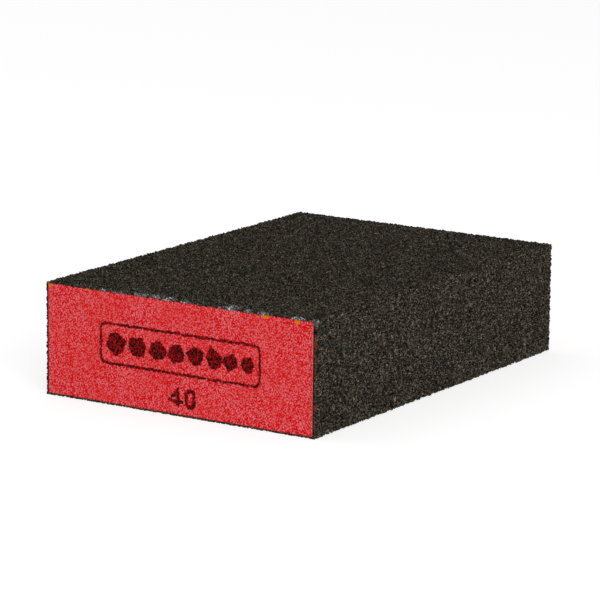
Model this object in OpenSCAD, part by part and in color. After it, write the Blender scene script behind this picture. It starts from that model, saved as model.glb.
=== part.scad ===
// Foam sanding block: a resilient foam core coated with coarse abrasive grain on its
// top, bottom and two long sides. Both ends are bare cut foam, and the front end is printed.
// +Z is up, the front end faces -Y, and the origin is the middle of the bottom face.

/* [Block] */
// Width from one coated side to the other
block_w = 69.85; // [50:0.05:90]
// Length from one cut foam end to the other
block_l = 101.6; // [80:0.1:140]
// Height from the bottom coated face to the top one
block_h = 25.4; // [15:0.1:40]
// Outer radius of the four long coated edges
edge_r = 0.8; // [0.8:0.1:4]

/* [Coating] */
// Thickness of a layer of grain, with the thin size coat that locks it in
grit_t = 0.5; // [0.3:0.05:0.5]
// Thickness of the resin bond coat between the foam and the grain
bond_t = 0.15; // [0.05:0.05:0.2]

/* [Hidden] */

$fn = 64;

// How far each layer's outer surface lies inside the block's outer surface
grit_depth = 0;
bond_depth = grit_t;
foam_depth = grit_t + bond_t;

// The mitre planes start at the centres of the edge arcs and run out at 45 degrees
mitre_x = block_w / 2 - edge_r;
mitre_low_z = edge_r;
mitre_high_z = block_h - edge_r;
mitre_reach = edge_r + 1;

foam_colour = [0.80, 0.22, 0.24];
bond_colour = [0.13, 0.10, 0.08];
grit_colour = [0.20, 0.19, 0.17];

// The block's cross-section, seen from the front, shrunk evenly by a depth
module cross_section(depth) {
    low = mitre_low_z;
    rise = mitre_high_z - mitre_low_z;
    radius = edge_r - depth;
    translate([-mitre_x - radius, low]) square([2 * (mitre_x + radius), rise]);
    translate([-mitre_x, low - radius]) square([2 * mitre_x, rise + 2 * radius]);
    for (x = [-mitre_x, mitre_x], z = [mitre_low_z, mitre_high_z])
        translate([x, z]) circle(r = radius);
}

// A sleeve of even thickness around all four coated faces
module sleeve_section(depth, thickness) {
    difference() {
        cross_section(depth);
        cross_section(depth + thickness);
    }
}

// The region that belongs to the top face: up to the mitre at each of its two edges
module top_region() {
    polygon([[-mitre_x, mitre_high_z],
             [-mitre_x - mitre_reach, mitre_high_z + mitre_reach],
             [mitre_x + mitre_reach, mitre_high_z + mitre_reach],
             [mitre_x, mitre_high_z]]);
}

// The region that belongs to the right side, between the same two mitres
module right_region() {
    polygon([[mitre_x, mitre_low_z],
             [mitre_x + mitre_reach, mitre_low_z - mitre_reach],
             [mitre_x + mitre_reach, mitre_high_z + mitre_reach],
             [mitre_x, mitre_high_z]]);
}

// Turns a cross-section into a solid that runs from the front end to the rear end
module run_of_block() {
    rotate([90, 0, 0]) linear_extrude(height = block_l, center = true) children();
}

module top_layer(depth, thickness) {
    run_of_block() intersection() {
        sleeve_section(depth, thickness);
        top_region();
    }
}

module right_layer(depth, thickness) {
    run_of_block() intersection() {
        sleeve_section(depth, thickness);
        right_region();
    }
}

module bottom_layer(depth, thickness) {
    translate([0, 0, block_h]) mirror([0, 0, 1]) top_layer(depth, thickness);
}

module left_layer(depth, thickness) {
    mirror([1, 0, 0]) right_layer(depth, thickness);
}

// Resilient foam block, bare at both ends
module foam_core() {
    color(foam_colour) run_of_block() cross_section(foam_depth);
}

// Resin that glues the grain to each face of the foam
module bond_coat_top() { color(bond_colour) top_layer(bond_depth, bond_t); }
module bond_coat_bottom() { color(bond_colour) bottom_layer(bond_depth, bond_t); }
module bond_coat_left() { color(bond_colour) left_layer(bond_depth, bond_t); }
module bond_coat_right() { color(bond_colour) right_layer(bond_depth, bond_t); }

// Coarse abrasive grain on each working face
module grit_top() { color(grit_colour) top_layer(grit_depth, grit_t); }
module grit_bottom() { color(grit_colour) bottom_layer(grit_depth, grit_t); }
module grit_left() { color(grit_colour) left_layer(grit_depth, grit_t); }
module grit_right() { color(grit_colour) right_layer(grit_depth, grit_t); }

foam_core();
bond_coat_top();
bond_coat_bottom();
bond_coat_left();
bond_coat_right();
grit_top();
grit_bottom();
grit_left();
grit_right();
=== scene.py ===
"""Looks of the foam sanding block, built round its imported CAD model.

Red open-cell foam with a printed end, coarse black grain on four faces, soft studio light.
Seen from the front, +X is right and +Z is up, and the block's length runs along Y.
"""

import math

import bpy
import numpy as np
from mathutils import Matrix, Vector


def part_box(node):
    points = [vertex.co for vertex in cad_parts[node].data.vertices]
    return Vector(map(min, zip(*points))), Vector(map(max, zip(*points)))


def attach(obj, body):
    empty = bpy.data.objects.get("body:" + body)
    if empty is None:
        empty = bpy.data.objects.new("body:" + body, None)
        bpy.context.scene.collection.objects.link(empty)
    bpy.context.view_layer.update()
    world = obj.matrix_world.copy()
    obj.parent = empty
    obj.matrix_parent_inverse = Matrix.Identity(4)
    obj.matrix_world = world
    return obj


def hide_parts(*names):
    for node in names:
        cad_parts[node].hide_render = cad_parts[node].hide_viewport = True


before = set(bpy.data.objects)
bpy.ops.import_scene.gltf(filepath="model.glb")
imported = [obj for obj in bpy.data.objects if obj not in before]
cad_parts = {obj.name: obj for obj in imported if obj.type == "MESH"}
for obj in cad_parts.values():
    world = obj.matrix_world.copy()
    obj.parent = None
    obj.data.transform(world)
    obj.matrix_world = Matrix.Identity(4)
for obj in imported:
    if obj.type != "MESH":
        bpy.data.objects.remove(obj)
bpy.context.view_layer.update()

MM = 0.001
FACES = ("top", "right", "bottom", "left")
BAKE_MAP = "OFBake"  # the UV map on each piece, laid out for baking its materials onto
SEEN_UV = 0.98  # a map's columns up to this are for the faces that are seen
HIDDEN_UV = 0.9925  # the one place on a map that all faces against another piece share

# Seeds of the random draws
GRAIN_SEED = 36
FOAM_SEED = 11
MARK_SEED = 7

# The block's own sizes, from the CAD frame
half_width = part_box("grit_right")[1].x
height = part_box("grit_top")[1].z
foam_half_width, half_length, foam_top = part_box("foam_core")[1]
coat_t = half_width - foam_half_width
grain_t = half_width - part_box("bond_coat_right")[1].x
edge_r = (half_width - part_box("grit_top")[1].x) / (1 - math.cos(math.pi / 4))
middle_z = height / 2


# ---------------------------------------------------------------- the section's outline

EDGE_FILL = 1.0  # how far the grain's tops fill a long edge out: 0 is the CAD arc, 1 is square
half_arc = edge_r * math.pi / 4
arc = 2 * half_arc
flat_x = 2 * (half_width - edge_r)
flat_z = height - 2 * edge_r
face_lengths = [flat + arc for flat in (flat_x, flat_z, flat_x, flat_z)]

# Going round clockwise from the top left mitre: where each arc and flat ends, the centre that
# the surface bends round there, and the way it faces
stops = np.cumsum([0, half_arc, flat_x, arc, flat_z, arc, flat_x, arc, flat_z, half_arc])
centre_x = np.array([-1, -1, 1, 1, 1, 1, -1, -1, -1, -1]) * flat_x / 2
centre_z = np.array([1, 1, 1, 1, -1, -1, -1, -1, 1, 1]) * flat_z / 2 + middle_z
facing = np.array([3, 2, 2, 0, 0, -2, -2, -4, -4, -5]) * math.pi / 4


def on_outline(along, depth):
    """x and z at a distance round the block's section and a depth under its surface. The
    surface fills the rounded edges out to square, and the coat's inner side keeps to the arc."""
    along = np.mod(along, stops[-1])
    angle = np.interp(along, stops, facing)
    square = edge_r / np.maximum(np.abs(np.cos(angle)), np.abs(np.sin(angle))) - edge_r
    fill = EDGE_FILL * square * (1 - depth / grain_t)
    x = np.interp(along, stops, centre_x) + (edge_r - depth + fill) * np.cos(angle)
    z = np.interp(along, stops, centre_z) + (edge_r - depth + fill) * np.sin(angle)
    return x, z


# ---------------------------------------------------------------- helpers for meshes


def smooth(low, high, value):
    """0 below low, 1 above high, and a smooth step between them."""
    t = np.clip((value - low) / (high - low), 0, 1)
    return t * t * (3 - 2 * t)


def nearest_points(x, y, spacing, rng, around=None):
    """Scatters points about spacing apart, one in each cell of a square grid. Gives each
    place's nearest point's number, the way from it, and the distances to it and to the second
    nearest. The pattern repeats in x after the distance around, if one is given."""
    margin = 4  # spare cells on every side of the places
    columns = round((around or np.ptp(x) + 2 * margin * spacing) / spacing)
    rows = round(np.ptp(y) / spacing) + 2 * margin
    width = around / columns if around else spacing
    spots = rng.uniform(0.1, 0.9, (columns, rows, 2))
    first_x = 0 if around else x.min() - margin * spacing
    across = (x - first_x) / width
    up = (y - y.min()) / spacing + margin
    column, row = np.floor(across).astype(int), np.floor(up).astype(int)
    out_of_reach = 9.0  # in cells, further than any point that is tried
    best = np.full(x.shape, out_of_reach)
    second = np.full(x.shape, out_of_reach)
    number = np.zeros(x.shape, int)
    away = np.zeros(x.shape + (2,))
    for i in range(-2, 3):
        for j in range(-2, 3):
            spot = spots[(column + i) % columns, row + j]
            way = np.stack([across - column - i - spot[..., 0], up - row - j - spot[..., 1]], -1)
            far = np.hypot(way[..., 0], way[..., 1])
            closer = far < best
            second = np.where(closer, best, np.minimum(second, far))
            number = np.where(closer, (column + i) % columns * rows + row + j, number)
            away = np.where(closer[..., None], way, away)
            best = np.where(closer, far, best)
    return number, away * spacing, best * spacing, second * spacing


def wander(length, step, rng):
    """A smooth random line from -1 to 1 over 0 to length, with a bend about every step."""
    knots = rng.uniform(-1, 1, max(4, round(length / step) + 4))

    def value(at):
        t = np.clip(at, 0, length) / length * (len(knots) - 2)
        i = np.minimum(t.astype(int), len(knots) - 2)
        blend = smooth(0, 1, t - i)
        return knots[i] * (1 - blend) + knots[i + 1] * blend

    return value


def lattice_triangles(grid):
    """Triangles over a grid of vertex numbers whose odd rows sit half a column along."""
    a, b, c, d = grid[:-1, :-1], grid[:-1, 1:], grid[1:, :-1], grid[1:, 1:]
    odd = (np.arange(len(grid) - 1) % 2 == 1)[:, None]
    first = np.stack([a, b, np.where(odd, d, c)], -1)
    second = np.stack([np.where(odd, a, b), d, c], -1)
    return np.concatenate([first.reshape(-1, 3), second.reshape(-1, 3)])


def triangle_mesh(name, points, triangles, uv, values, smooth_faces):
    """A mesh object with its bake map. Each value is one number per point, or one per face."""
    mesh = bpy.data.meshes.new(name)
    mesh.vertices.add(len(points))
    mesh.vertices.foreach_set("co", points.astype(np.float32).ravel())
    mesh.loops.add(triangles.size)
    mesh.loops.foreach_set("vertex_index", triangles.astype(np.int32).ravel())
    mesh.polygons.add(len(triangles))
    mesh.polygons.foreach_set("loop_start", np.arange(0, triangles.size, 3, dtype=np.int32))
    mesh.update(calc_edges=True)
    mesh.uv_layers.new(name=BAKE_MAP)
    mesh.uv_layers[BAKE_MAP].data.foreach_set("uv", uv.astype(np.float32).ravel())
    for key, value in values.items():
        domain = "POINT" if len(value) == len(points) else "FACE"
        layer = mesh.attributes.new(key, "FLOAT", domain)
        layer.data.foreach_set("value", value.astype(np.float32))
    if smooth_faces:
        mesh.shade_smooth()
    else:
        mesh.shade_flat()
    piece = bpy.data.objects.new(name, mesh)
    bpy.context.scene.collection.objects.link(piece)
    return piece


def place(piece, node, material):
    """Gives the piece its material and slot. It stands for a CAD node and moves with the body."""
    piece.data.materials.append(material)
    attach(piece, "root")
    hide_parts(node)


# ---------------------------------------------------------------- helpers for materials


def new_material(name):
    """A material, its node tree and its Principled shader."""
    material = bpy.data.materials.new(name)
    material.use_nodes = True
    tree = material.node_tree
    return material, tree, tree.nodes["Principled BSDF"]


def add(tree, kind, inputs=None, **settings):
    """A node with its settings, its sockets set to plain values or linked from other sockets."""
    made = tree.nodes.new("ShaderNode" + kind)
    for key, value in settings.items():
        setattr(made, key, value)
    for key, value in (inputs or {}).items():
        if isinstance(value, bpy.types.NodeSocket):
            tree.links.new(value, made.inputs[key])
        else:
            made.inputs[key].default_value = value
    return made


def attribute(tree, name):
    """A value that the mesh carries, by name."""
    return add(tree, "Attribute", attribute_name=name).outputs["Fac"]


def math_node(tree, operation, *values, clamp=False):
    """The result of one Math node on plain values or sockets."""
    numbered = dict(enumerate(values))
    return add(tree, "Math", numbered, operation=operation, use_clamp=clamp).outputs[0]


def step_node(tree, value, low, high):
    """0 at low to 1 at high, smooth between, in a Map Range node."""
    inputs = {"Value": value, "From Min": low, "From Max": high}
    return add(tree, "MapRange", inputs, interpolation_type="SMOOTHSTEP").outputs[0]


def range_node(tree, value, low, high, to_low, to_high):
    """A value from low to high, stretched in a straight line over a new range."""
    inputs = {"Value": value, "From Min": low, "From Max": high}
    inputs.update({"To Min": to_low, "To Max": to_high})
    return add(tree, "MapRange", inputs).outputs[0]


def noise(tree, size, detail=2.0, roughness=0.5):
    """Noise from 0 to 1 with blobs of about that size, fixed to the object."""
    place_of = add(tree, "TexCoord").outputs["Object"]
    inputs = {"Vector": place_of, "Scale": 1 / size, "Detail": detail, "Roughness": roughness}
    return add(tree, "TexNoise", inputs).outputs["Fac"]


def mix(tree, factor, a, b, blend="MIX"):
    """A colour mix: a where factor is 0, b where it is 1."""
    made = add(tree, "Mix", data_type="RGBA", blend_type=blend)
    for socket, value in ((made.inputs[0], factor), (made.inputs[6], a), (made.inputs[7], b)):
        if isinstance(value, bpy.types.NodeSocket):
            tree.links.new(value, socket)
        else:
            socket.default_value = value
    return made.outputs[2]


def flipped(tree, value):
    """1 where the value is 0, and 0 where it is 1."""
    return math_node(tree, "SUBTRACT", 1.0, value)


def roughen(tree, shader, fine, strength, depth):
    """Bumps the shader's surface finely, on top of the shape that the mesh has."""
    bump = add(tree, "Bump", {"Height": fine, "Strength": strength, "Distance": depth})
    tree.links.new(bump.outputs["Normal"], shader.inputs["Normal"])


def rgb(red, green, blue):
    """An opaque colour."""
    return (red, green, blue, 1.0)


# ---------------------------------------------------------------- abrasive grain

GRAIN_SPACING = 0.52 * MM  # from one grain to the next, for a coarse grade
GRAIN_STEP = 0.292 * MM  # from one mesh vertex to the next
GRAIN_PLAY = 0.3  # how far a vertex may stray from its place, in steps
CAP_ROWS = 2  # rows of vertices across the coat's cut end
TOP_SPREAD = 0.22 * MM  # from the highest grain's top to the lowest one's
TOP_PROUD = 0.08 * MM  # how far the highest tops stand out past the CAD surface
TOP_TILT = 0.4  # typical slope of a grain's top
TOP_ROUGHNESS = 0.02 * MM
VALLEY_DEPTH = 0.30 * MM  # how deep the resin between the grains lies
DEEPEST = 0.92  # the deepest valley, as a share of the layer's thickness
MITRE_DEPTH = 0.9  # how deep the mitres' hidden vertices lie, as the same share
GRAIN_TONES = (0.26, 0.40)  # brightness of a common grain, from black to the palest colour
SPECK_AND_GLINT_TONES = (0.7, 1.2)  # brightness of a pale one: partly a pale grain, partly a painted glint
SPECK_AND_GLINT_SHARE = 0.03  # share of the grains that are pale, as pale grains and painted glints
VALLEY_SHADE = 0.3  # painted shade between the grains: the brightness there, as a share of their own
FACET_TONES_AND_GLINTS = (1.2, 0.83)  # gamma shape and scale of a triangle's brightness beside its grain's: random tone, whose brightest triangles are painted glints

# The coat's cut ends
RAGGED_OUT = 0.12 * MM  # how far the rim's grains stand out past the CAD surface at most
RAGGED_IN = 0.26 * MM  # how far under it they lie at most
CUT_INSET = 0.1 * MM  # how far behind the end they lie at most
CUT_END_LIGHT_AND_SHADE = (1.2, 0.45, 1.0, 0.45)  # painted light and shade on the cut end of each face, as its brightness beside its surface's: lighter on top, darker on the sides
RUST_SHARES = (0, 0.45, 0.05, 0.05)  # share of each face's front rim with rust-red resin

WEAR_AND_HIGHLIGHT_RISE = 0.1 * MM  # how much higher the pale marks of dust and painted highlight lie than the grain under them
WEAR_AND_HIGHLIGHT_BLUR = 0.5 * MM  # how far a pale mark's outline strays sideways
WEAR_AND_HIGHLIGHT_CORNER = (1.8, 2.2)  # the pale right-hand corner's reach down and back, in mm, with wear and painted highlight
CORNER_WEAR_AND_HIGHLIGHT = 0.6  # how pale the corner is beside the other pale marks

# Pale places along the top front edge, with wear and with painted highlight where the grains
# catch the light, in mm from the middle: place, half length, reach back
WEAR_AND_HIGHLIGHT_EDGE = (
    (-20.0, 1.2, 1.0), (-15.2, 1.8, 1.7), (-9.6, 2.6, 2.2), (-6.2, 2.0, 3.2), (-2.4, 1.4, 2.8),
    (1.6, 1.0, 1.0), (13.4, 2.6, 3.2), (17.4, 1.4, 2.6), (21.6, 1.6, 1.2), (30.4, 2.4, 1.8),
)


def grain_surface(along, y, rng):
    """Depth of the grain surface at each place, and each place's own grain's tone and tint. The
    tone is darker between the grains as painted shade, and its pale specks are partly painted
    glints.
    """
    grain, way, near, next_near = nearest_points(along, y, GRAIN_SPACING, rng, stops[-1])
    count = grain.max() + 1
    top = (rng.beta(1.4, 2.6, count) * TOP_SPREAD - TOP_PROUD)[grain]
    tilt = rng.normal(0, TOP_TILT, (count, 2))[grain]
    gap = (next_near - near) / GRAIN_SPACING
    inside = smooth(0.02, 0.42, gap)
    valley = VALLEY_DEPTH * rng.uniform(0.75, 1.15, along.shape)
    crown = top + (tilt * way).sum(-1) + rng.normal(0, TOP_ROUGHNESS, along.shape)
    depth = np.clip(valley + (crown - valley) * inside, -TOP_PROUD, DEEPEST * grain_t)
    # Pale grains, which also stand as painted glints
    speck_and_glint = rng.random(count) < SPECK_AND_GLINT_SHARE
    tone = np.where(speck_and_glint, rng.uniform(*SPECK_AND_GLINT_TONES, count), rng.uniform(*GRAIN_TONES, count))
    # Painted shade: darker between the grains, down in the valleys
    lit = VALLEY_SHADE + (1 - VALLEY_SHADE) * smooth(0.05, 0.5, gap)
    return depth, tone[grain] * lit, rng.random(count)[grain]


def wear_and_highlight_places(along, y, rng):
    """1 at the pale places along the top front edge and its right-hand corner, else 0: partly
    wear, partly painted highlight.
    """
    from_end = y + half_length
    x, _ = on_outline(along, 0)
    x = x + WEAR_AND_HIGHLIGHT_BLUR * rng.uniform(-1, 1, along.shape)
    wear_and_highlight = np.zeros(along.shape)
    on_top = along < face_lengths[0]
    for middle, half, reach in WEAR_AND_HIGHLIGHT_EDGE:
        spread = np.hypot((x - middle * MM) / (half * MM), from_end / (reach * MM))
        wear_and_highlight = np.maximum(wear_and_highlight, (1 - smooth(0.2, 1.2, spread)) * on_top)
    down, back = WEAR_AND_HIGHLIGHT_CORNER
    corner = np.hypot((along - face_lengths[0]) / (down * MM), from_end / (back * MM))
    wear_and_highlight = np.maximum(wear_and_highlight, CORNER_WEAR_AND_HIGHLIGHT * (1 - smooth(0.4, 1.1, corner)))
    return 1.0 * (wear_and_highlight > rng.uniform(0.15, 1.3, along.shape))


def lattice_places(row, column, rows, seams, rng):
    """Distance round the section and y of each vertex, loose on the surface and in line at the
    hidden rows. The first row and the last close the layer behind the grain."""
    shape = (row.size, column.size)
    hidden = (row == row[0]) | (row == row[-1])
    loose = np.where(hidden, 0, GRAIN_PLAY)
    stagger = 0.5 * (row % 2) * ~hidden
    place_in = column + stagger + loose * rng.uniform(-1, 1, shape)
    seam_places = np.concatenate([[0], np.cumsum(face_lengths)])
    along = np.mod(np.interp(place_in, seams, seam_places), stops[-1])
    along = np.where(place_in < 0, stops[-1] + place_in * GRAIN_STEP, along)
    y = -half_length + np.clip(row, 0, rows) * 2 * half_length / rows
    on_surface = (row > 0) & (row < rows)
    return along, y + on_surface * GRAIN_PLAY * GRAIN_STEP * rng.uniform(-1, 1, shape)


def grain_lattice(rng):
    """The whole coat as one grid, from the front cut end over the surface to the rear one: its
    points, the places deep in the coat under them, their values, and each mitre's column."""
    counts = [round(length / GRAIN_STEP) for length in face_lengths]
    seams = np.concatenate([[0], np.cumsum(counts)])
    rows = round(2 * half_length / (GRAIN_STEP * math.sqrt(3) / 2))
    row = np.arange(-CAP_ROWS, rows + CAP_ROWS + 1)[:, None]
    column = np.arange(seams[-1])[None, :]
    on_surface = (row > 0) & (row < rows)
    cap = np.maximum(np.maximum(-row, row - rows), 0) / CAP_ROWS
    along, y = lattice_places(row, column, rows, seams, rng)

    depth, tone, tint = grain_surface(along, y, rng)
    wear_and_highlight = wear_and_highlight_places(along, y, rng)
    ragged = rng.uniform(-RAGGED_OUT, RAGGED_IN, along.shape)
    depth = np.where(on_surface, depth - WEAR_AND_HIGHLIGHT_RISE * wear_and_highlight, ragged)
    depth = depth + (grain_t - depth) * cap
    inset = CUT_INSET * rng.random(along.shape)
    inset = np.where(on_surface | (cap == 1), 0, inset)
    y = y + np.where(row <= 0, inset, -inset)
    x, z = on_outline(along, depth)
    points = np.stack([x, y, np.maximum(z, 0)], -1)
    under_x, under_z = on_outline(along, MITRE_DEPTH * grain_t)
    under = np.stack([under_x, y, under_z], -1)

    face = np.searchsorted(seams, column, side="right") - 1
    cut_light_and_shade = np.take(CUT_END_LIGHT_AND_SHADE, face)
    rust = (row == 0) & (rng.random(along.shape) < np.take(RUST_SHARES, face))
    # Painted light and shade: the cut ends are lighter on top and darker on the sides
    tone = tone * np.where(cap > 0, cut_light_and_shade, 1)
    return points, under, {"tone": tone, "tint": tint, "wear_and_highlight": wear_and_highlight, "rust": 1.0 * rust}, seams


def mitre_wall(edge, under):
    """Triangles that close one side of a layer, from the vertices along its edge down to the
    ones under them."""
    strip = lattice_triangles(np.stack([edge[1:-1], under]))
    ends = [[edge[0], edge[1], under[0]], [edge[-2], edge[-1], under[-1]]]
    line = np.append(under, edge[-1])
    corner = np.full(len(line) - 1, edge[0])
    return np.concatenate([strip, ends, np.stack([corner, line[:-1], line[1:]], -1)])


def closed_layer(points, under, values, rng):
    """One face's share of the lattice, closed behind and along its two mitres: its points,
    triangles, bake map and one set of values per triangle, of which some are painted glints and
    most aren't."""
    rows, columns = points.shape[:2]
    grid = np.arange(rows * columns).reshape(rows, columns)
    outer = lattice_triangles(grid)
    back = lattice_triangles(np.stack([grid[-1], grid[0]]))
    seam_points = np.concatenate([under[1:-1, 0], under[1:-1, -1]])
    seam = (rows * columns + np.arange(len(seam_points))).reshape(2, -1)
    left_wall = mitre_wall(grid[:, 0], seam[0])
    right_wall = mitre_wall(grid[:, -1], seam[1])[:, ::-1]
    triangles = np.concatenate([outer, back, left_wall, right_wall])

    across, up = np.meshgrid(np.linspace(0, SEEN_UV, columns), np.linspace(0, 1, rows))
    uv = np.full((len(triangles), 3, 2), HIDDEN_UV)
    uv[:len(outer)] = np.stack([across.ravel(), up.ravel()], -1)[outer]

    filler = np.zeros(len(seam_points))
    flat = {key: np.append(value.ravel(), filler) for key, value in values.items()}
    per_face = {key: flat[key][triangles].mean(1) for key in ("tone", "wear_and_highlight", "rust")}
    per_face["tint"] = flat["tint"][triangles[:, 0]] * 0.5 + 0.5 * rng.random(len(triangles))
    # Random brightness per triangle, the brightest of it painted glints
    per_face["tone"] = per_face["tone"] * rng.gamma(*FACET_TONES_AND_GLINTS, len(triangles))
    return np.concatenate([points.reshape(-1, 3), seam_points]), triangles, uv, per_face


def grain_pieces(material):
    """The coat of each face: a closed rough layer that fits its CAD solid."""
    rng = np.random.default_rng(GRAIN_SEED)
    points, under, values, seams = grain_lattice(rng)
    for face, first, last in zip(FACES, seams[:-1], seams[1:]):
        share = np.arange(first, last + 1) % seams[-1]
        part = {key: value[:, share] for key, value in values.items()}
        at, triangles, uv, per_face = closed_layer(points[:, share], under[:, share], part, rng)
        piece = triangle_mesh("grain_" + face, at, triangles, uv, per_face, False)
        place(piece, "grit_" + face, material)


def grain_material():
    """Dark mineral grains in resin: each grain has its own tone, tint and gloss, and the tone
    also carries painted shade, painted light and painted glints.
    """
    material, tree, shader = new_material("abrasive_grain")
    # The grains' own random tone together with painted shade, painted light and painted glints
    tone = attribute(tree, "tone")
    tint = attribute(tree, "tint")
    wear_and_highlight = attribute(tree, "wear_and_highlight")
    fleck = range_node(tree, noise(tree, 0.24 * MM, 1), 0.36, 0.64, 0.2, 1.8)
    tone = math_node(tree, "MULTIPLY", tone, fleck)
    warm = mix(tree, tone, rgb(0.0018, 0.0010, 0.0002), rgb(0.186, 0.150, 0.103))
    cool = mix(tree, tone, rgb(0.0018, 0.0011, 0.0003), rgb(0.166, 0.160, 0.136))
    mineral = mix(tree, step_node(tree, tint, 0.35, 0.75), warm, cool)
    patch = range_node(tree, noise(tree, 9 * MM, 2), 0, 1, 0.88, 1.12)
    mottled = mix(tree, 1.0, mineral, patch, "MULTIPLY")
    rust = step_node(tree, attribute(tree, "rust"), 0.15, 0.3)
    rusty = mix(tree, rust, mottled, rgb(0.15, 0.024, 0.006))
    # Pale dust and wear, and painted highlight where the grains at the front edge catch the light
    dust_and_highlight = mix(tree, tone, rgb(0.030, 0.034, 0.038), rgb(0.80, 0.84, 0.84))
    dusty_and_highlit = mix(tree, step_node(tree, wear_and_highlight, 0.1, 0.7), rusty, dust_and_highlight)
    tree.links.new(dusty_and_highlit, shader.inputs["Base Color"])

    tree.links.new(range_node(tree, tint, 0, 1, 0.45, 0.85), shader.inputs["Roughness"])
    glint = math_node(tree, "MULTIPLY", tone, 0.25, clamp=True)
    tree.links.new(glint, shader.inputs["Specular IOR Level"])
    roughen(tree, shader, noise(tree, 0.09 * MM, 3, 0.6), 0.35, 0.03 * MM)
    return material


# ---------------------------------------------------------------- foam and its printed end

foam_half_height = foam_top - middle_z
foam_r = edge_r - coat_t

FOAM_STEP = 0.205 * MM  # from one mesh vertex to the next across a cut end
FOAM_PLAY = 0.25  # how far a vertex may stray from its place, in steps
CELL_SPACING = 0.56 * MM  # from one open cell to the next
CELL_DEPTH = 0.22 * MM
CELL_TURN = (math.cos(0.6), math.sin(0.6))  # the cells' rows don't line up with the block
TOP_LIP = 0.26 * MM  # how far the foam's top edge laps over the coat, on average
BOTTOM_LIP = 0.08 * MM  # and its bottom edge
LIP_WIDTH = 0.3 * MM  # how much of the foam along its edge takes part in that
LIP_VARIES = 0.7  # how far the lap strays from its average, as a share of it
LIP_BEND = 0.5 * MM  # along the edge, from one bend of the lip to the next
SIDE_DRAW = 0.2 * MM  # how far the foam's sides draw in from the coat at most
RIM_BULGE = 0.1 * MM  # how far a cut end stands out along its rim
RIM_WIDTH = 0.6 * MM  # how wide that bulge is
RIM_CALM = 0.7  # how much shallower the cells are there, as a share of their depth
UNPRINTED = 9.0  # millimetres from the print, for places without any

# Amber glue at the top of the front end, in mm from the middle: place, half length, reach down
AMBER_GLUE = ((-33.9, 0.7, 0.8), (-23.5, 0.6, 0.3), (22.4, 1.3, 0.55), (30.4, 0.8, 0.9))

# The print on the front end, in mm: a rounded frame round a row of grain shapes, and under it
# the grade number
FRAME_X, FRAME_Z = 0.4, 13.7  # the frame's middle
FRAME_HALF_X, FRAME_HALF_Z = 20.6, 4.4  # from its middle to the middle of its line
FRAME_CORNER = 1.5
FRAME_LINE = 0.64  # width of its line
CHIP_SIZES = np.linspace(5.3, 3.7, 8)  # from coarse to fine
CHIP_GAP = 0.35
CHIPS_START = -19.2  # the row's left end, from the frame's middle
NUMBER_Z = 4.2  # the number's middle
NUMBER_HEIGHT = 4.4
FOUR_X, FOUR_STROKE = -0.5, 0.8
ZERO_X, ZERO_STROKE = 3.3, 0.86


def rounded_box(x, z, half_x, half_z, radius):
    """Distance outside a rounded rectangle's outline, negative inside it."""
    out_x = np.abs(x) - half_x + radius
    out_z = np.abs(z) - half_z + radius
    outside = np.hypot(np.maximum(out_x, 0), np.maximum(out_z, 0))
    return outside + np.minimum(np.maximum(out_x, out_z), 0) - radius


def stroke(x, z, start, end, width):
    """Distance outside a straight pen stroke."""
    run_x, run_z = end[0] - start[0], end[1] - start[1]
    t = ((x - start[0]) * run_x + (z - start[1]) * run_z) / (run_x ** 2 + run_z ** 2)
    t = np.clip(t, 0, 1)
    return np.hypot(x - start[0] - t * run_x, z - start[1] - t * run_z) - width / 2


def chip(x, z, size, sides, turn, rng):
    """Distance outside a grain-shaped polygon of that size, with uneven sides."""
    angles = turn + (np.arange(sides) + rng.uniform(-0.18, 0.18, sides)) * 2 * math.pi / sides
    reach = size / 2 * rng.uniform(0.80, 1.0, sides)
    return np.max([x * math.cos(a) + z * math.sin(a) - r for a, r in zip(angles, reach)], 0)


def digit_four(x, z, high, width):
    """Distance outside a figure 4 of that height and stroke width."""
    tip = (0.14 * high, high / 2 - width / 2)
    elbow = (-0.36 * high, -0.2 * high)
    shapes = [
        stroke(x, z, tip, elbow, width),
        stroke(x, z, elbow, (0.38 * high, elbow[1]), width),
        stroke(x, z, tip, (tip[0], -high / 2 + width / 2), width),
    ]
    return np.min(shapes, 0)


def digit_zero(x, z, high, width):
    """Distance outside a figure 0 of that height and stroke width."""
    outside = rounded_box(x, z, 0.32 * high, high / 2, 0.3 * high)
    return np.abs(outside + width / 2) - width / 2


def printed_mark(x, z):
    """Distance in millimetres outside the print: a frame round grains from coarse to fine, and
    the grade number under it."""
    rng = np.random.default_rng(MARK_SEED)
    x, z = x / MM, z / MM
    frame_line = rounded_box(x - FRAME_X, z - FRAME_Z, FRAME_HALF_X, FRAME_HALF_Z, FRAME_CORNER)
    shapes = [np.abs(frame_line) - FRAME_LINE / 2]
    place_x = CHIPS_START
    for size in CHIP_SIZES:
        place_x += size / 2
        turn = rng.uniform(0, math.pi)
        sides = rng.integers(5, 7)
        shapes.append(chip(x - FRAME_X - place_x, z - FRAME_Z, size, sides, turn, rng))
        place_x += size / 2 + CHIP_GAP
    shapes.append(digit_four(x - FOUR_X, z - NUMBER_Z, NUMBER_HEIGHT, FOUR_STROKE))
    shapes.append(digit_zero(x - ZERO_X, z - NUMBER_Z, NUMBER_HEIGHT, ZERO_STROKE))
    return np.min(shapes, 0)


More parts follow.
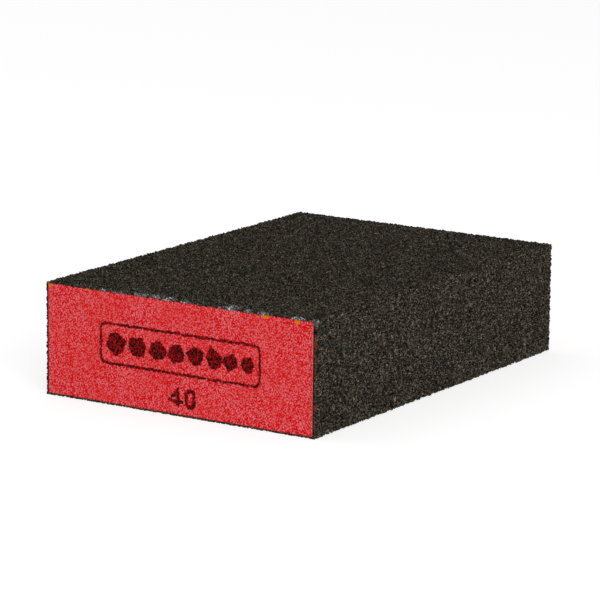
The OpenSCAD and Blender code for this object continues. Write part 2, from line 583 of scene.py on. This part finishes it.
def end_lattice(rng):
    """x and z of a cut end's vertices, loose inside and in line round the rim."""
    columns = round(2 * foam_half_width / FOAM_STEP)
    rows = round(2 * foam_half_height / (FOAM_STEP * math.sqrt(3) / 2))
    row = np.arange(rows + 1)[:, None]
    column = np.arange(columns + 1)[None, :]
    at_side = (column == 0) | (column == columns)
    at_end = (row == 0) | (row == rows)
    loose = np.where(at_side | at_end, 0, FOAM_PLAY)
    shift = np.where(at_side & ~at_end, 0, 0.5 * (row % 2))
    across = np.clip(column + shift + loose * rng.uniform(-1, 1, loose.shape), 0, columns)
    up = row + loose * rng.uniform(-1, 1, loose.shape)
    x = (across / columns * 2 - 1) * foam_half_width
    z = (up / rows * 2 - 1) * foam_half_height
    return rounded_corner(x, z)


def rounded_corner(x, z):
    """Pulls places near the foam section's four corners in to its rounded outline."""
    corner_x = foam_half_width - foam_r
    corner_z = foam_half_height - foam_r
    out_x = np.maximum(np.abs(x) - corner_x, 0)
    out_z = np.maximum(np.abs(z) - corner_z, 0)
    far = np.maximum(np.hypot(out_x, out_z), 1e-9)
    scale = np.maximum(out_x, out_z) / far
    new_x = np.sign(x) * (np.minimum(np.abs(x), corner_x) + out_x * scale)
    new_z = np.sign(z) * (np.minimum(np.abs(z), corner_z) + out_z * scale)
    return new_x, new_z


def open_cells(x, z, rng):
    """How deep in an open cell each place lies: 0 on the walls, up to 1 in the deepest cells."""
    along = x * CELL_TURN[0] + z * CELL_TURN[1]
    up = z * CELL_TURN[0] - x * CELL_TURN[1]
    cell, _, near, next_near = nearest_points(along, up, CELL_SPACING, rng)
    deep = rng.uniform(0.35, 1, cell.max() + 1)[cell]
    return smooth(0.03, 0.32, (next_near - near) / CELL_SPACING) * deep


def in_amber(x, z):
    """Millimetres outside the slivers of amber glue that hang from the top of the front end."""
    below = (foam_half_height - z) / MM
    shapes = [below - reach * (1 - np.abs(x / MM - middle) / half)
              for middle, half, reach in AMBER_GLUE]
    return np.min(shapes, 0)


def foam_end(side, rng):
    """One cut end, the front for side -1 and the rear for 1: its points and their values."""
    x, z = end_lattice(rng)
    pit = open_cells(x, z, rng)
    inside = -rounded_box(x, z, foam_half_width, foam_half_height, foam_r)
    bulge = 1 - smooth(0, RIM_WIDTH, inside)
    proud = RIM_BULGE * bulge - CELL_DEPTH * pit * (1 - RIM_CALM * bulge)
    scallop = wander(2 * half_width, LIP_BEND, rng)(x + half_width)
    at_top = smooth(-LIP_WIDTH, 0, z - foam_half_height)
    at_bottom = smooth(-LIP_WIDTH, 0, -z - foam_half_height)
    lip = (1 + LIP_VARIES * scallop) * (TOP_LIP * at_top - BOTTOM_LIP * at_bottom)
    at_side = smooth(-LIP_WIDTH, 0, np.abs(x) - foam_half_width)
    drawn = SIDE_DRAW * rng.random(x.shape) * at_side * (1 - at_top) * (1 - at_bottom)
    y = side * (half_length + proud)
    points = np.stack([x - np.sign(x) * drawn, y, z + lip + middle_z], -1)
    if side < 0:
        ink, amber = printed_mark(x, z + middle_z), in_amber(x, z)
    else:
        ink = amber = np.full(x.shape, UNPRINTED)
    return points, {"pit": pit, "ink": ink, "amber": amber}


def rim_loop(grid):
    """The numbers round the edge of a grid, once round."""
    return np.concatenate([grid[0, :-1], grid[:-1, -1], grid[-1, :0:-1], grid[:0:-1, 0]])


def foam_block(material):
    """The foam, closed: two pitted ends joined by the long faces under the coat."""
    rng = np.random.default_rng(FOAM_SEED)
    front, front_values = foam_end(-1, rng)
    rear, rear_values = foam_end(1, rng)
    count = front[..., 0].size
    grid = np.arange(count).reshape(front.shape[:2])
    rim = rim_loop(grid)
    ring = np.arange(rim.size)
    plain_x, plain_z = end_lattice(np.random.default_rng(0))  # the rim has no play in it
    seats = []
    for side in (-1, 1):
        flat_y = np.full(grid.shape, side * half_length)
        seats.append(np.stack([plain_x, flat_y, plain_z + middle_z], -1).reshape(-1, 3)[rim])
    points = np.concatenate([front.reshape(-1, 3), rear.reshape(-1, 3), *seats])

    loops = [count + rim, 2 * count + rim.size + ring, 2 * count + ring, rim]
    sleeves = [lattice_triangles(np.stack([np.append(a, a[0]), np.append(b, b[0])]))
               for a, b in zip(loops[:-1], loops[1:])]
    front_faces = lattice_triangles(grid)
    rear_faces = lattice_triangles(grid + count)[:, ::-1]
    triangles = np.concatenate([front_faces, rear_faces, *sleeves])

    across = (points[:, 0] / foam_half_width + 1) / 2 * SEEN_UV
    up = np.clip(points[:, 2] / height, 0, 1) / 2 + (points[:, 1] > 0) / 2
    uv = np.stack([across, up], -1)[triangles]
    uv[len(front_faces) + len(rear_faces):] = HIDDEN_UV

    fillers = {"pit": 0.0, "ink": UNPRINTED, "amber": UNPRINTED}
    values = {}
    for key, filler in fillers.items():
        both = [front_values[key].ravel(), rear_values[key].ravel()]
        values[key] = np.concatenate([*both, np.full(2 * rim.size, filler)])
    piece = triangle_mesh("foam_block", points, triangles, uv, values, True)
    place(piece, "foam_core", material)


def foam_material():
    """Red open-cell foam: pale cell walls over deep red cells, whose deeper red is painted shade,
    and dark ink soaked into it.
    """
    material, tree, shader = new_material("foam")
    pit = attribute(tree, "pit")
    fine = noise(tree, 0.36 * MM, 1)
    broken = math_node(tree, "ADD", pit, math_node(tree, "MULTIPLY_ADD", fine, 2.4, -1.2))
    # Painted shade: darker, deeper red down in the open cells
    cell_shade = step_node(tree, broken, -0.15, 0.7)
    cells = mix(tree, cell_shade, rgb(0.70, 0.158, 0.178), rgb(0.58, 0.002, 0.003))
    patch = step_node(tree, noise(tree, 7 * MM, 2), 0.35, 0.7)
    red = mix(tree, patch, cells, mix(tree, 0.35, cells, rgb(0.64, 0.022, 0.020)))

    ragged = math_node(tree, "MULTIPLY_ADD", noise(tree, 0.5 * MM, 2), 1.2, -0.6)
    ink_edge = math_node(tree, "ADD", attribute(tree, "ink"), ragged)
    # The ink sits on the cell walls and thins out down in the open cells
    inked = flipped(tree, step_node(tree, ink_edge, -0.08, 0.08))
    held = flipped(tree, step_node(tree, broken, 0.15, 0.95))
    strength = math_node(tree, "MULTIPLY", inked, math_node(tree, "MULTIPLY_ADD", held, 0.6, 0.4))
    printed = mix(tree, strength, red, rgb(0.004, 0.0002, 0.0002))

    amber = flipped(tree, step_node(tree, attribute(tree, "amber"), -0.06, 0.06))
    edged = mix(tree, amber, printed, rgb(0.62, 0.16, 0.004))
    tree.links.new(edged, shader.inputs["Base Color"])
    shader.inputs["Roughness"].default_value = 0.9
    shader.inputs["Specular IOR Level"].default_value = 0.06
    roughen(tree, shader, fine, 0.5, 0.06 * MM)
    return material


def resin_material():
    """The bond coat where it shows as a thin line at the cut ends."""
    material, tree, shader = new_material("bond_resin")
    blotch = noise(tree, 0.8 * MM, 3, 0.6)
    brown = step_node(tree, blotch, 0.3, 0.7)
    colour = mix(tree, brown, rgb(0.012, 0.009, 0.007), rgb(0.06, 0.024, 0.012))
    tree.links.new(colour, shader.inputs["Base Color"])
    tree.links.new(range_node(tree, blotch, 0, 1, 0.4, 0.65), shader.inputs["Roughness"])
    shader.inputs["Specular IOR Level"].default_value = 0.3
    roughen(tree, shader, noise(tree, 0.2 * MM), 0.4, 0.05 * MM)
    return material


def paint_bond_coats(material):
    """The bond coats keep their CAD shape and take only their looks from here."""
    for face in FACES:
        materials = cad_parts["bond_coat_" + face].data.materials
        materials.clear()
        materials.append(material)


# ---------------------------------------------------------------- studio

FLOOR_REACH = 4.0  # metres from the block to each side of the floor

# The camera: where it looks, from where in degrees and metres, and through how long a lens
LOOK_AT = Vector((-1.67 * MM, -0.14 * MM, middle_z + 3.72 * MM))
CAMERA_AZIMUTH = 32.77
CAMERA_ELEVATION = 12.11
CAMERA_ROLL = 0.58
CAMERA_DISTANCE = 748.1 * MM
CAMERA_LENS = 198.8


def direction(azimuth, elevation):
    """The way out from the block, at degrees to the right of the front and degrees up."""
    a, e = math.radians(azimuth), math.radians(elevation)
    return Vector((math.sin(a) * math.cos(e), -math.cos(a) * math.cos(e), math.sin(e)))


def floor():
    """A plain white floor that fills the view, lit a little from below as a light table is."""
    material, _, shader = new_material("studio_floor")
    shader.inputs["Base Color"].default_value = rgb(0.62, 0.62, 0.62)
    shader.inputs["Emission Color"].default_value = rgb(1.0, 1.0, 1.0)
    shader.inputs["Emission Strength"].default_value = 0.65
    shader.inputs["Roughness"].default_value = 0.8
    shader.inputs["Specular IOR Level"].default_value = 0.1
    mesh = bpy.data.meshes.new("studio_floor")
    turns = ((-1, -1), (1, -1), (1, 1), (-1, 1))
    corners = [(x * FLOOR_REACH, y * FLOOR_REACH, 0) for x, y in turns]
    mesh.from_pydata(corners, [], [(0, 1, 2, 3)])
    mesh.materials.append(material)
    plane = bpy.data.objects.new("studio_floor", mesh)
    bpy.context.scene.collection.objects.link(plane)


def soft_light(name, azimuth, elevation, distance, size, watts):
    """A square area light that faces the block, in degrees and metres."""
    data = bpy.data.lights.new(name, "AREA")
    data.shape = "SQUARE"
    data.size = size
    data.energy = watts
    lamp = bpy.data.objects.new(name, data)
    bpy.context.scene.collection.objects.link(lamp)
    out = direction(azimuth, elevation)
    lamp.location = out * distance + Vector((0, 0, middle_z))
    lamp.rotation_euler = out.to_track_quat("Z", "Y").to_euler()


def studio_light():
    """Even white light from all round, and a soft key light from the right."""
    world = bpy.data.worlds.new("studio")
    world.use_nodes = True
    background = world.node_tree.nodes["Background"]
    background.inputs["Color"].default_value = rgb(1.0, 1.0, 1.0)
    background.inputs["Strength"].default_value = 0.42
    bpy.context.scene.world = world
    soft_light("key", azimuth=45, elevation=22, distance=1.2, size=0.6, watts=6.4)
    soft_light("fill", azimuth=-80, elevation=50, distance=1.3, size=0.9, watts=1.5)
    bpy.context.scene.view_settings.view_transform = "Standard"


def camera():
    """The photo's own view."""
    back = direction(CAMERA_AZIMUTH, CAMERA_ELEVATION)
    data = bpy.data.cameras.new("camera")
    data.sensor_width = 36
    data.lens = CAMERA_LENS
    data.clip_start = 0.05
    data.clip_end = 20
    seen_from = bpy.data.objects.new("camera", data)
    bpy.context.scene.collection.objects.link(seen_from)
    turn = back.to_track_quat("Z", "Y").to_matrix().to_4x4()
    roll = Matrix.Rotation(math.radians(CAMERA_ROLL), 4, "Z")
    seen_from.matrix_world = Matrix.Translation(LOOK_AT + back * CAMERA_DISTANCE) @ turn @ roll
    bpy.context.scene.camera = seen_from


camera()
grain_pieces(grain_material())
foam_block(foam_material())
paint_bond_coats(resin_material())
floor()
studio_light()
